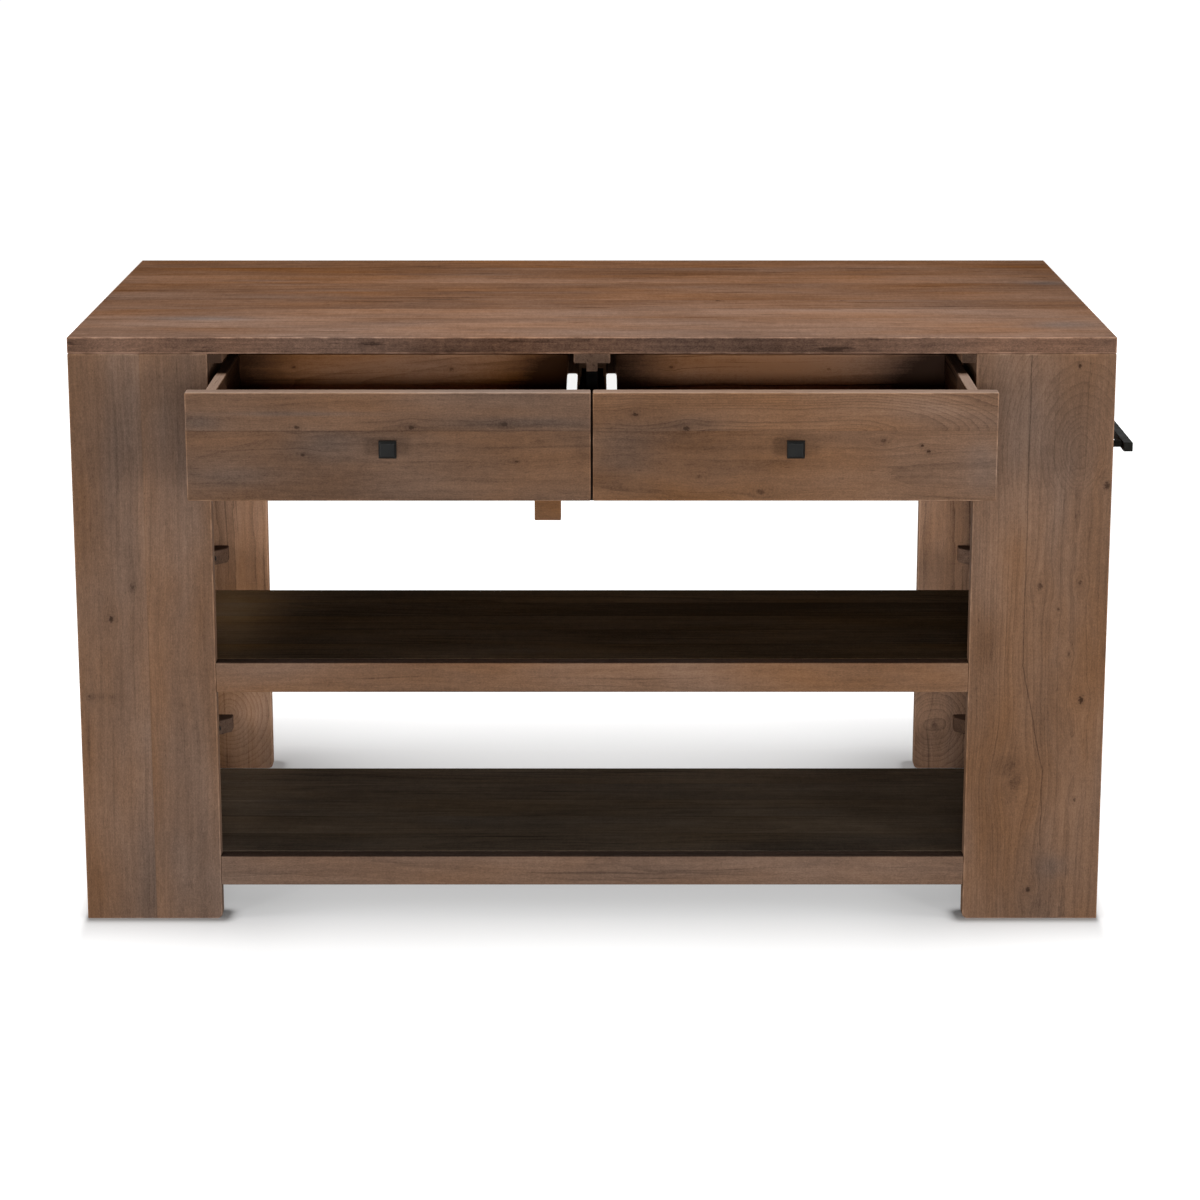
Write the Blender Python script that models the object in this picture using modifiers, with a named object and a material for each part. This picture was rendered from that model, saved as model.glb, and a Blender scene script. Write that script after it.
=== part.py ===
"""Kitchen island of solid stained boards, with two drawers shown partly open.

The island stands on four L-shaped legs, each a face plank and a side plank.
Two shelves hang between stretchers on the end frames and stop short of the back,
which leaves a knee space under the worktop. The drawers run on telescopic slides
of three nested channels. A square towel bar stands off the right-hand end.

Lengths are in metres, +Z is up, +Y points to the back and +X to the towel bar.
"""

import math

import bmesh
import bpy
from mathutils import Matrix, Vector

# Overall sizes
WIDTH = 1.575
DEPTH = 0.790
HEIGHT = 0.920
BOARD = 0.025
EDGE_ROUND = 0.0016
CLEARANCE = 0.0003

# Legs, aprons and shelves
LEG_WIDTH = 0.210
LEG_DEPTH = 0.210
FOOT_ROUND = 0.008
APRON_HEIGHT = 0.100
LIP_HEIGHT = 0.047
STRETCHER_WIDTH = 0.048
UPPER_SHELF_TOP = 0.414
LOWER_SHELF_TOP = 0.102
SHELF_DEPTH = 0.448
SHELF_THICKNESS = 0.020

# Corner blocks and their bolts
BLOCK_LEG = 0.068
BLOCK_FLAT = 0.022
BLOCK_HEIGHT = 0.026
BOLT_DIAMETER = 0.006
BOLT_LENGTH = 0.040
BOLT_HEAD_DIAMETER = 0.011
BOLT_CROWN_DIAMETER = 0.008
BOLT_HEAD_HEIGHT = 0.004
BOLT_RIM_HEIGHT = 0.002

# Drawer bay
BAY_BOARD = 0.016
BAY_HEIGHT = 0.180
CLEAT_HEIGHT = 0.014
CLEAT_WIDTH = 0.022
RAIL_HEAD_WIDTH = 0.055
RAIL_STEM_WIDTH = 0.017
RAIL_DEPTH = 0.027
DIVIDER_SETBACK = 0.003
DIVIDER_DROP = 0.0465

# Telescopic slides
SLIDE_WIDTH = 0.0127
SLIDE_HEIGHT = 0.045
SLIDE_LENGTH = 0.300
SLIDE_SHEET = 0.0012
SLIDE_PLAY = 0.0005
SLIDE_FLANGE = 0.0085
SLIDE_INSET = 0.003

# Drawers
DRAWER_OPEN = 0.127
FRONT_GAP = 0.001
FRONT_HEIGHT = 0.162
FRONT_REVEAL = 0.030
FRONT_OVERLAP = 0.0155
FRONT_SPACING = 0.002
FRONT_ROUND = 0.0026
BOX_SIDE = 0.016
BOX_HEIGHT = 0.140
BOX_LENGTH = 0.305
FLOOR_THICKNESS = 0.006
FLOOR_RISE = 0.010
GROOVE_DEPTH = 0.006

# Stop block behind the left drawer's front
STOP_WIDTH = 0.039
STOP_THICKNESS = 0.025
STOP_DROP = 0.035
STOP_FROM_CENTRE = 0.0455

# Knobs
KNOB_SIZE = 0.026
KNOB_FACE = 0.0165
KNOB_HEAD = 0.011
KNOB_SLOPE = 0.004
KNOB_NECK_DIAMETER = 0.012
KNOB_NECK_LENGTH = 0.013
KNOB_EDGE_ROUND = 0.0006
KNOB_STUD_DIAMETER = 0.004
KNOB_STUD_LENGTH = 0.018

# Towel bar
BAR_SIZE = 0.014
BAR_STANDOFF = 0.029
BAR_INSET = 0.078
BAR_LEVEL = 0.7355
BAR_EDGE_ROUND = 0.0008
POST_DIAMETER = 0.011
POST_INSET = 0.028
POST_STUD_DIAMETER = 0.006
POST_STUD_LENGTH = 0.018

# Fineness of round and rounded surfaces
ROUND_SIDES = 16
EDGE_SEGMENTS = 2
FOOT_SEGMENTS = 4
ROUND_PROFILE = 0.5
CREASE_ANGLE = math.radians(40)
WELD = 0.00001

# Lines that several pieces share
END = WIDTH / 2
LEG_INNER = END - LEG_WIDTH
END_INNER = END - BOARD
STRETCHER_INNER = END_INNER - CLEARANCE - STRETCHER_WIDTH
UNDERSIDE = HEIGHT - BOARD
CARRY = UNDERSIDE - CLEARANCE
BLOCK_REACH = (BLOCK_LEG + BLOCK_FLAT) / math.sqrt(2)
POST_LINE = BAR_INSET + POST_INSET

# Lines of the drawer bay
BAY_BOTTOM = CARRY - BAY_HEIGHT
BAY_REAR = SHELF_DEPTH - BAY_BOARD
RAIL_BOTTOM = CARRY - RAIL_DEPTH
RAIL_FACE = RAIL_STEM_WIDTH / 2

# Lines of the drawers
FRONT_TOP = UNDERSIDE - FRONT_REVEAL
FRONT_BOTTOM = FRONT_TOP - FRONT_HEIGHT
FRONT_INNER = FRONT_SPACING / 2
FRONT_OUTER = LEG_INNER + FRONT_OVERLAP
FRONT_CENTRE = (FRONT_INNER + FRONT_OUTER) / 2
KNOB_LEVEL = (FRONT_BOTTOM + FRONT_TOP) / 2
BOX_INNER = RAIL_FACE + SLIDE_WIDTH
BOX_OUTER = LEG_INNER - SLIDE_WIDTH
BOX_BOTTOM = FRONT_TOP - BOX_HEIGHT
FLOOR_TOP = BOX_BOTTOM + FLOOR_RISE + FLOOR_THICKNESS

# Lines of the slides: each member nests in the one before it
SLIDE_LEVEL = BOX_BOTTOM + BOX_HEIGHT / 2
SLIDE_STEP = SLIDE_SHEET + SLIDE_PLAY
MIDDLE_WEB = CLEARANCE + SLIDE_STEP
DRAWER_WEB = SLIDE_WIDTH - CLEARANCE

# How far the open drawers and the towel bar stand out from the worktop
FRONT_REACH = FRONT_GAP + DRAWER_OPEN + BOARD + CLEARANCE + KNOB_NECK_LENGTH + KNOB_HEAD
BAR_REACH = BAR_STANDOFF + BAR_SIZE

# Sides of the island: the left drawer is at -X
LEFT = -1
RIGHT = 1
SIDE_NAMES = {LEFT: "left", RIGHT: "right"}
ROWS = ("front", "rear")
UP = Vector((0, 0, 1))

# Finishes: name, linear colour, roughness and metallic value
WORKTOP_WOOD = ("worktop_wood", (0.205, 0.104, 0.058), 0.45, 0.0)
LEG_WOOD = ("leg_wood", (0.165, 0.090, 0.055), 0.50, 0.0)
SHELF_WOOD = ("shelf_wood", (0.150, 0.082, 0.050), 0.50, 0.0)
FRONT_WOOD = ("drawer_front_wood", (0.180, 0.092, 0.052), 0.48, 0.0)
BOX_WOOD = ("drawer_box_wood", (0.230, 0.125, 0.065), 0.55, 0.0)
BLACK_PAINT = ("black_paint", (0.012, 0.012, 0.012), 0.60, 0.0)
BLACK_STEEL = ("black_steel", (0.020, 0.020, 0.021), 0.38, 0.9)
SLIDE_STEEL = ("slide_steel", (0.030, 0.030, 0.032), 0.35, 1.0)
BOLT_STEEL = ("bolt_steel", (0.035, 0.033, 0.030), 0.42, 1.0)


def clear_scene():
    for old in list(bpy.data.objects):
        bpy.data.objects.remove(old, do_unlink=True)


def new_collection(name):
    collection = bpy.data.collections.new(name)
    bpy.context.scene.collection.children.link(collection)
    return collection


clear_scene()
PARTS = new_collection("kitchen_island")
CUTTERS = new_collection("cutters")


def material(finish):
    name, colour, roughness, metallic = finish
    found = bpy.data.materials.get(name)
    if found:
        return found
    made = bpy.data.materials.new(name)
    made.use_nodes = True
    shader = made.node_tree.nodes["Principled BSDF"]
    shader.inputs["Base Color"].default_value = (*colour, 1.0)
    shader.inputs["Roughness"].default_value = roughness
    shader.inputs["Metallic"].default_value = metallic
    return made


def empty(name, location, parent=None):
    made = bpy.data.objects.new(name, None)
    made.location = location
    made.parent = parent
    PARTS.objects.link(made)
    return made


# The root stands in the middle of the whole footprint, with open drawers and towel bar
ROOT = empty("island", (-BAR_REACH / 2, (FRONT_REACH - DEPTH) / 2, 0.0))


def place(name, mesh, location, parent, finish, direction=UP):
    """Stands a mesh at a location in its parent's frame, its Z axis along a direction."""
    made = bpy.data.objects.new(name, mesh)
    made.location = location
    made.rotation_euler = UP.rotation_difference(Vector(direction)).to_euler()
    made.parent = parent
    if not mesh.materials:
        mesh.materials.append(material(finish))
    PARTS.objects.link(made)
    return made


def mesh_from(shape, name):
    mesh = bpy.data.meshes.new(name)
    bmesh.ops.recalc_face_normals(shape, faces=shape.faces)
    shape.to_mesh(mesh)
    shape.free()
    return mesh


def evaluated_mesh(drawn, name):
    """The mesh of a drawn object with its modifiers and caps welded. The object is removed."""
    PARTS.objects.link(drawn)
    ready = drawn.evaluated_get(bpy.context.evaluated_depsgraph_get())
    loose = bpy.data.meshes.new_from_object(ready)
    bpy.data.objects.remove(drawn, do_unlink=True)
    shape = bmesh.new()
    shape.from_mesh(loose)
    bpy.data.meshes.remove(loose)
    bmesh.ops.remove_doubles(shape, verts=shape.verts, dist=WELD)
    return mesh_from(shape, name)


def extruded(name, outline, thickness):
    """A flat outline, extruded along its Z axis by half the thickness each way."""
    curve = bpy.data.curves.new(name, "CURVE")
    curve.dimensions = "2D"
    curve.fill_mode = "BOTH"
    curve.extrude = thickness / 2
    spline = curve.splines.new("POLY")
    spline.points.add(len(outline) - 1)
    for point, (x, y) in zip(spline.points, outline):
        point.co = (x, y, 0.0, 1.0)
    spline.use_cyclic_u = True
    return evaluated_mesh(bpy.data.objects.new(name, curve), name)


def turned(name, profile):
    """A profile of (radius, height) points, from the top down, turned about its Z axis."""
    line = bpy.data.meshes.new(name + "_profile")
    points = [(radius, 0.0, height) for radius, height in profile]
    line.from_pydata(points, [(i, i + 1) for i in range(len(points) - 1)], [])
    drawn = bpy.data.objects.new(name, line)
    screw = drawn.modifiers.new("turn", "SCREW")
    screw.axis = "Z"
    screw.steps = ROUND_SIDES
    screw.render_steps = ROUND_SIDES
    screw.use_merge_vertices = True
    screw.merge_threshold = WELD
    made = evaluated_mesh(drawn, name)
    made.shade_smooth()
    made.set_sharp_from_angle(angle=CREASE_ANGLE)
    return made


def add_box(shape, low, high):
    low, high = Vector(low), Vector(high)
    size = Matrix.Diagonal((*(high - low), 1.0))
    bmesh.ops.create_cube(shape, size=1.0, matrix=Matrix.Translation((low + high) / 2) @ size)


def add_rod(shape, start, end, diameter):
    start, end = Vector(start), Vector(end)
    turn = UP.rotation_difference(end - start).to_matrix().to_4x4()
    bmesh.ops.create_cone(
        shape,
        cap_ends=True,
        segments=ROUND_SIDES,
        radius1=diameter / 2,
        radius2=diameter / 2,
        depth=(end - start).length,
        matrix=Matrix.Translation((start + end) / 2) @ turn,
    )


def round_edges(piece, width=EDGE_ROUND):
    bevel = piece.modifiers.new("rounded_edges", "BEVEL")
    bevel.width = width
    bevel.segments = EDGE_SEGMENTS
    bevel.limit_method = "ANGLE"
    bevel.angle_limit = CREASE_ANGLE
    return piece


def board(name, corner, far_corner, parent, finish, rounding=EDGE_ROUND):
    """A board or bar with rounded edges between two opposite corners."""
    corner, far_corner = Vector(corner), Vector(far_corner)
    centre = (corner + far_corner) / 2
    half = Vector(map(abs, far_corner - centre))
    shape = bmesh.new()
    add_box(shape, -half, half)
    return round_edges(place(name, mesh_from(shape, name), centre, parent, finish), rounding)


def moulding(name, outline, length):
    """A length of a section that is drawn in the XZ plane, centred on Y."""
    mesh = extruded(name, outline, length)
    mesh.transform(Matrix.Rotation(math.radians(90), 4, "X"))
    return mesh


def combine(piece, shape, name, operation):
    """Joins a shape to a piece or cuts it out. The shape is in the frame of the piece's parent."""
    tool = bpy.data.objects.new(name, mesh_from(shape, name))
    tool.parent = piece.parent
    tool.hide_render = True
    tool.display_type = "WIRE"
    CUTTERS.objects.link(tool)
    boolean = piece.modifiers.new(name, "BOOLEAN")
    boolean.operation = operation
    boolean.solver = "EXACT"
    boolean.object = tool


def from_row(row, distance):
    """Y of a line that lies a distance in from the island's front or rear plane."""
    return distance if row == "front" else DEPTH - distance


def build_worktop():
    board("worktop", (-END, 0, UNDERSIDE), (END, DEPTH, HEIGHT), ROOT, WORKTOP_WOOD)


def build_legs():
    """Each leg is a face plank in the front or rear plane and a side plank against its back."""
    for side in (LEFT, RIGHT):
        for row in ROWS:
            name = row + "_" + SIDE_NAMES[side]
            plank = board(
                name + "_leg_plank",
                (side * LEG_INNER, from_row(row, 0), 0),
                (side * END, from_row(row, BOARD), CARRY),
                ROOT,
                LEG_WOOD,
            )
            round_foot(plank.data, side)
            side_plank = board(
                name + "_side_plank",
                (side * END_INNER, from_row(row, BOARD + CLEARANCE), 0),
                (side * END, from_row(row, LEG_DEPTH), CARRY),
                ROOT,
                LEG_WOOD,
            )
            if side == RIGHT:
                bore_for_post(side_plank, row)


def round_foot(mesh, side):
    """Rounds the lower corner of a leg plank that faces the island's middle."""
    shape = bmesh.new()
    shape.from_mesh(mesh)
    lowest = min(vertex.co.z for vertex in shape.verts)
    corner = [
        edge
        for edge in shape.edges
        if all(vertex.co.x * side < 0 and vertex.co.z == lowest for vertex in edge.verts)
    ]
    bmesh.ops.bevel(
        shape,
        geom=corner,
        offset=FOOT_ROUND,
        segments=FOOT_SEGMENTS,
        profile=ROUND_PROFILE,
        affect="EDGES",
    )
    shape.to_mesh(mesh)
    shape.free()


def bore_for_post(side_plank, row):
    """A blind hole in the outer face of a side plank for the stud of a towel bar post."""
    hole = bmesh.new()
    line = from_row(row, POST_LINE)
    add_rod(
        hole,
        (END - POST_STUD_LENGTH - CLEARANCE, line, BAR_LEVEL),
        (END + BAR_STANDOFF, line, BAR_LEVEL),
        POST_STUD_DIAMETER + 2 * CLEARANCE,
    )
    combine(side_plank, hole, row + "_post_hole", "DIFFERENCE")


def build_end_aprons():
    """A rail under the worktop at each end, between the two side planks."""
    for side in (LEFT, RIGHT):
        board(
            SIDE_NAMES[side] + "_end_apron",
            (side * END_INNER, LEG_DEPTH + CLEARANCE, CARRY - APRON_HEIGHT),
            (side * END, DEPTH - LEG_DEPTH - CLEARANCE, CARRY),
            ROOT,
            LEG_WOOD,
        )


def build_shelf(level, top):
    """A panel between two end stretchers, with a deep lip between the front legs."""
    bottom = top - LIP_HEIGHT
    for side in (LEFT, RIGHT):
        name = level + "_" + SIDE_NAMES[side]
        board(
            name + "_stretcher",
            (side * STRETCHER_INNER, BOARD + CLEARANCE, bottom),
            (side * (END_INNER - CLEARANCE), DEPTH - BOARD - CLEARANCE, top),
            ROOT,
            LEG_WOOD,
        )
        build_corner_block(name, side, top)
    reach = STRETCHER_INNER - CLEARANCE
    board(
        level + "_shelf_panel",
        (-reach, BOARD + CLEARANCE, top - SHELF_THICKNESS),
        (reach, SHELF_DEPTH, top),
        ROOT,
        SHELF_WOOD,
    )
    board(
        level + "_shelf_lip",
        (-LEG_INNER + CLEARANCE, 0, bottom),
        (LEG_INNER - CLEARANCE, BOARD, top),
        ROOT,
        SHELF_WOOD,
    )


def build_corner_block(name, side, top):
    """A block in the corner of a stretcher and a rear leg, with a bolt through its slanted face."""
    outline = [
        (0, 0),
        (BLOCK_LEG, 0),
        (BLOCK_LEG, BLOCK_FLAT),
        (BLOCK_FLAT, BLOCK_LEG),
        (0, BLOCK_LEG),
    ]
    corner = Vector(
        (
            side * (STRETCHER_INNER - CLEARANCE),
            DEPTH - BOARD - CLEARANCE,
            top - BLOCK_HEIGHT / 2,
        )
    )
    inward = Vector((-side, -1, 0)).normalized()
    block = place(
        name + "_corner_block",
        extruded("corner_block", outline, BLOCK_HEIGHT),
        corner,
        ROOT,
        LEG_WOOD,
    )
    block.rotation_euler.z = math.atan2(inward.y, inward.x) - math.radians(45)
    round_edges(block)
    face = corner + inward * BLOCK_REACH
    bore = bmesh.new()
    add_rod(
        bore,
        face - inward * (BOLT_LENGTH + CLEARANCE),
        face + inward * BLOCK_FLAT,
        BOLT_DIAMETER + 2 * CLEARANCE,
    )
    combine(block, bore, name + "_bolt_bore", "DIFFERENCE")
    profile = [
        (0, BOLT_HEAD_HEIGHT),
        (BOLT_CROWN_DIAMETER / 2, BOLT_HEAD_HEIGHT),
        (BOLT_HEAD_DIAMETER / 2, BOLT_RIM_HEIGHT),
        (BOLT_HEAD_DIAMETER / 2, 0),
        (BOLT_DIAMETER / 2, 0),
        (BOLT_DIAMETER / 2, -BOLT_LENGTH),
        (0, -BOLT_LENGTH),
    ]
    bolt = turned(name + "_bolt", profile)
    place(bolt.name, bolt, face + inward * CLEARANCE, ROOT, BOLT_STEEL, inward)


def build_drawer_bay():
    """Panels and a back round the drawers, and cleats under the worktop along the panels.

    Between the drawers a T-shaped rail runs under the worktop. A black divider hangs from it, down past
    the drawers, and closes the sight line through the gap between their fronts.
    """
    for side in (LEFT, RIGHT):
        board(
            SIDE_NAMES[side] + "_bay_panel",
            (side * LEG_INNER, BOARD + CLEARANCE, BAY_BOTTOM),
            (side * (LEG_INNER + BAY_BOARD), BAY_REAR - CLEARANCE, CARRY),
            ROOT,
            BOX_WOOD,
        )
        board(
            SIDE_NAMES[side] + "_cleat",
            (side * (LEG_INNER - CLEARANCE), 0, CARRY - CLEAT_HEIGHT),
            (side * (LEG_INNER - CLEARANCE - CLEAT_WIDTH), BAY_REAR - CLEARANCE, CARRY),
            ROOT,
            LEG_WOOD,
        )
    width = LEG_INNER + BAY_BOARD
    rear = BAY_REAR - CLEARANCE
    board("bay_back", (-width, BAY_REAR, BAY_BOTTOM), (width, SHELF_DEPTH, CARRY), ROOT, LEG_WOOD)
    head = RAIL_HEAD_WIDTH / 2
    section = [
        (-head, 0),
        (-head, -CLEAT_HEIGHT),
        (-RAIL_FACE, -CLEAT_HEIGHT),
        (-RAIL_FACE, -RAIL_DEPTH),
        (RAIL_FACE, -RAIL_DEPTH),
        (RAIL_FACE, -CLEAT_HEIGHT),
        (head, -CLEAT_HEIGHT),
        (head, 0),
    ]
    rail = moulding("centre_rail", section, rear)
    round_edges(place("centre_rail", rail, (0, rear / 2, CARRY), ROOT, LEG_WOOD))
    board(
        "divider",
        (-RAIL_FACE, DIVIDER_SETBACK, BAY_BOTTOM - DIVIDER_DROP),
        (RAIL_FACE, rear, RAIL_BOTTOM - CLEARANCE),
        ROOT,
        BLACK_PAINT,
    )


def channel_outline(web, tip, height):
    """A channel's section: its web's outer face, the tips of its flanges and its height."""
    inner = web + math.copysign(SLIDE_SHEET, tip - web)
    half = height / 2
    throat = half - SLIDE_SHEET
    return [
        (web, -half),
        (tip, -half),
        (tip, -throat),
        (inner, -throat),
        (inner, throat),
        (tip, throat),
        (tip, half),
        (web, half),
    ]


def slide_channel(name, web, tip, steps_in, way):
    """A slide member, at the given distances from the bay towards the drawer."""
    outline = channel_outline(web, tip, SLIDE_HEIGHT - 2 * steps_in * SLIDE_STEP)
    return moulding(name, [(way * u, v) for u, v in outline], SLIDE_LENGTH)


def build_slides(side, drawer):
    """Two slides for a drawer: a fixed channel, a middle one and a runner on the drawer's side.

    The middle channels travel half as far as the drawer.
    """
    middle = SLIDE_INSET + SLIDE_LENGTH / 2
    for slide, face, way in (("outer", side * LEG_INNER, -side), ("inner", side * RAIL_FACE, side)):
        name = drawer.name + "_" + slide
        fixed = slide_channel(name + "_fixed_channel", CLEARANCE, CLEARANCE + SLIDE_FLANGE, 0, way)
        place(fixed.name, fixed, (face, middle, SLIDE_LEVEL), ROOT, SLIDE_STEEL)
        tip = MIDDLE_WEB + SLIDE_FLANGE
        carried = slide_channel(name + "_middle_channel", MIDDLE_WEB, tip, 1, way)
        half_way = (face, middle - DRAWER_OPEN / 2, SLIDE_LEVEL)
        place(carried.name, carried, half_way, ROOT, SLIDE_STEEL)
        runner = slide_channel(name + "_runner", DRAWER_WEB, MIDDLE_WEB + SLIDE_STEP, 2, way)
        on_drawer = (face - drawer.location.x, middle + FRONT_GAP, SLIDE_LEVEL)
        place(runner.name, runner, on_drawer, drawer, SLIDE_STEEL)


def build_drawer(side):
    """A drawer on an empty of its own, which stands at the back face of the drawer's front."""
    name = SIDE_NAMES[side] + "_drawer"
    drawer = empty(name, (side * FRONT_CENTRE, -FRONT_GAP - DRAWER_OPEN, 0), ROOT)

    def corner(distance, y, z):
        """A point in the drawer's frame, at a distance from the island's middle plane."""
        return Vector((side * (distance - FRONT_CENTRE), y, z))

    front = board(
        name + "_front",
        corner(FRONT_INNER, -BOARD, FRONT_BOTTOM),
        corner(FRONT_OUTER, 0, FRONT_TOP),
        drawer,
        FRONT_WOOD,
        FRONT_ROUND,
    )
    outer = board(
        name + "_outer_side",
        corner(BOX_OUTER, CLEARANCE, BOX_BOTTOM),
        corner(BOX_OUTER - BOX_SIDE, BOX_LENGTH, FRONT_TOP),
        drawer,
        BOX_WOOD,
    )
    inner = board(
        name + "_inner_side",
        corner(BOX_INNER, CLEARANCE, BOX_BOTTOM),
        corner(BOX_INNER + BOX_SIDE, BOX_LENGTH, FRONT_TOP),
        drawer,
        BOX_WOOD,
    )
    board(
        name + "_back",
        corner(BOX_OUTER - BOX_SIDE - CLEARANCE, BOX_LENGTH - BOX_SIDE, FLOOR_TOP + CLEARANCE),
        corner(BOX_INNER + BOX_SIDE + CLEARANCE, BOX_LENGTH, FRONT_TOP),
        drawer,
        BOX_WOOD,
    )
    near = corner(BOX_OUTER - BOX_SIDE + GROOVE_DEPTH, -GROOVE_DEPTH, FLOOR_TOP - FLOOR_THICKNESS)
    far = corner(BOX_INNER + BOX_SIDE - GROOVE_DEPTH, BOX_LENGTH, FLOOR_TOP)
    board(name + "_floor", near, far, drawer, BOX_WOOD)
    for piece in (front, outer, inner):
        cut_groove(piece, near, far)
    build_knob(name, drawer, front)
    build_slides(side, drawer)
    if side == LEFT:
        board(
            name + "_stop_block",
            corner(STOP_FROM_CENTRE, CLEARANCE, FRONT_BOTTOM - STOP_DROP),
            corner(STOP_FROM_CENTRE + STOP_WIDTH, STOP_THICKNESS, near.z - CLEARANCE),
            drawer,
            FRONT_WOOD,
        )


def cut_groove(piece, near, far):
    """Cuts the groove that holds the drawer's floor, open at the rear."""
    margin = Vector((CLEARANCE, CLEARANCE, CLEARANCE))
    low = Vector(map(min, near, far)) - margin
    high = Vector(map(max, near, far)) + margin
    high.y += GROOVE_DEPTH
    shape = bmesh.new()
    add_box(shape, low, high)
    combine(piece, shape, piece.name + "_groove", "DIFFERENCE")


def build_knob(name, drawer, front):
    """A square knob with a sloped rim, on a round neck with a stud that goes into the front."""
    seat = Vector((0, -BOARD - CLEARANCE, KNOB_LEVEL))
    half = KNOB_SIZE / 2
    rim = KNOB_NECK_LENGTH + KNOB_HEAD - KNOB_SLOPE
    head = bmesh.new()
    add_box(head, (-half, -rim, -half), (half, -KNOB_NECK_LENGTH, half))
    face = min(head.faces, key=lambda flat: flat.calc_center_median().y)
    slope = (KNOB_SIZE - KNOB_FACE) / 2
    bmesh.ops.inset_region(head, faces=[face], thickness=slope, depth=KNOB_SLOPE)
    knob = place(name + "_knob", mesh_from(head, name + "_knob"), seat, drawer, BLACK_STEEL)
    round_edges(knob, KNOB_EDGE_ROUND)
    inside = seat - Vector((0, rim, 0))
    neck = bmesh.new()
    add_rod(neck, seat, inside, KNOB_NECK_DIAMETER)
    combine(knob, neck, name + "_knob_neck", "UNION")
    tip = seat + Vector((0, KNOB_STUD_LENGTH, 0))
    stud = bmesh.new()
    add_rod(stud, tip, inside, KNOB_STUD_DIAMETER)
    combine(knob, stud, name + "_knob_stud", "UNION")
    bore = bmesh.new()
    bore_end = tip + Vector((0, CLEARANCE, 0))
    add_rod(bore, bore_end, inside, KNOB_STUD_DIAMETER + 2 * CLEARANCE)
    combine(front, bore, name + "_knob_bore", "DIFFERENCE")


def build_towel_bar():
    """A square bar with two round posts, whose studs sit in the side planks of the right legs."""
    near = END + BAR_STANDOFF
    bottom = BAR_LEVEL - BAR_SIZE / 2
    bar = board(
        "towel_bar",
        (near, BAR_INSET, bottom),
        (near + BAR_SIZE, DEPTH - BAR_INSET, bottom + BAR_SIZE),
        ROOT,
        BLACK_STEEL,
        BAR_EDGE_ROUND,
    )
    for row in ROWS:
        line = from_row(row, POST_LINE)
        middle = Vector((near + BAR_SIZE / 2, line, BAR_LEVEL))
        post = bmesh.new()
        add_rod(post, (END + CLEARANCE, line, BAR_LEVEL), middle, POST_DIAMETER)
        combine(bar, post, row + "_post", "UNION")
        stud = bmesh.new()
        add_rod(stud, (END - POST_STUD_LENGTH, line, BAR_LEVEL), middle, POST_STUD_DIAMETER)
        combine(bar, stud, row + "_post_stud", "UNION")


build_worktop()
build_legs()
build_end_aprons()
build_shelf("upper", UPPER_SHELF_TOP)
build_shelf("lower", LOWER_SHELF_TOP)
build_drawer_bay()
build_drawer(LEFT)
build_drawer(RIGHT)
build_towel_bar()
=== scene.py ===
import math
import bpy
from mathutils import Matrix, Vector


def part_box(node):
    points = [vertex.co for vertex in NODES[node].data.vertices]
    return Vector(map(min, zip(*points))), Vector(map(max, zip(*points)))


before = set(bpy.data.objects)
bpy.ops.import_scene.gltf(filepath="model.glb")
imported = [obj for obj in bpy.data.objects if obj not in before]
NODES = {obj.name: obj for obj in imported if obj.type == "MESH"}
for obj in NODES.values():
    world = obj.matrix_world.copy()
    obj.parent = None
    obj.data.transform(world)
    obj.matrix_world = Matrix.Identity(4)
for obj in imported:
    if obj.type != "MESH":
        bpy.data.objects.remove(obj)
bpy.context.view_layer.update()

from types import SimpleNamespace

import bpy
from mathutils import Vector

X, Y, Z = 0, 1, 2

# Camera at the photograph's angle, in the row frame: metres, degrees, and millimetres for the lens.
CAMERA_PLACE = (-0.0108, -4.8908, 1.7117)
CAMERA_TILT = 77.568
CAMERA_TURN = -0.017
CAMERA_LENS = 93.061
CAMERA_SENSOR = 36.0
CAMERA_SHIFT = -0.10
CAMERA_REACH = 200.0

# Places in the row frame that several pieces share.
TOP_LEVEL = 0.920
WORKTOP_FRONT = -0.30635
DRAWER_TOP = 0.865
DRAWER_GLUE = 0.808

BUMP_STRENGTH = 0.35


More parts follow.
